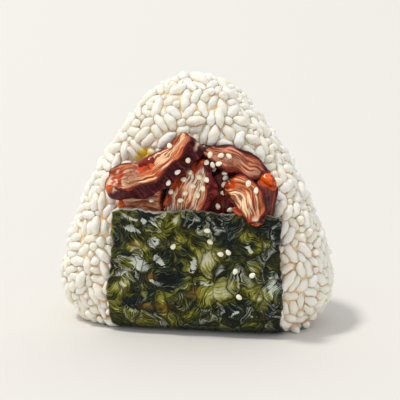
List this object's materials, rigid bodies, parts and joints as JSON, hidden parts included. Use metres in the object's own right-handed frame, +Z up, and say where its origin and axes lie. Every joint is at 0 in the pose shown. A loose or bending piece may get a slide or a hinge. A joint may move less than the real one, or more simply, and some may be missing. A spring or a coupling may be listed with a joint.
{
  "type": "onigiri rice ball",
  "caption": "Triangular pressed rice ball with grilled meat slices and sesame seeds tucked behind a wrapped strip of seaweed.",
  "frame": {"origin": "middle of the flat underside, on the surface the rice ball stands on", "axes": "+Z up, +X to the right across the front, +Y from the front with the meat to the back"},
  "size_m": [0.0892, 0.0532, 0.08],
  "materials": {
    "rice_ball": "moist cooked rice",
    "nori_strip": "wrinkled semi-gloss",
    "meat_slab_left": "glazed",
    "meat_slice_right_front": "glazed",
    "meat_wedge_centre": "glazed",
    "meat_slice_right_upper": "glazed",
    "meat_chunk_right_back": "glazed",
    "meat_chunk_left_low": "glazed",
    "meat_chunk_centre_low": "glazed"
  },
  "bodies": {
    "root": {"rice_ball": "rice_ball", "nori_strip": "nori_strip", "meat_slab_left": "meat_slab_left", "meat_slice_right_front": "meat_slice_right_front", "meat_wedge_centre": "meat_wedge_centre", "meat_slice_right_upper": "meat_slice_right_upper", "meat_chunk_right_back": "meat_chunk_right_back", "meat_chunk_left_low": "meat_chunk_left_low", "meat_chunk_centre_low": "meat_chunk_centre_low"}
  },
  "joints": []
}
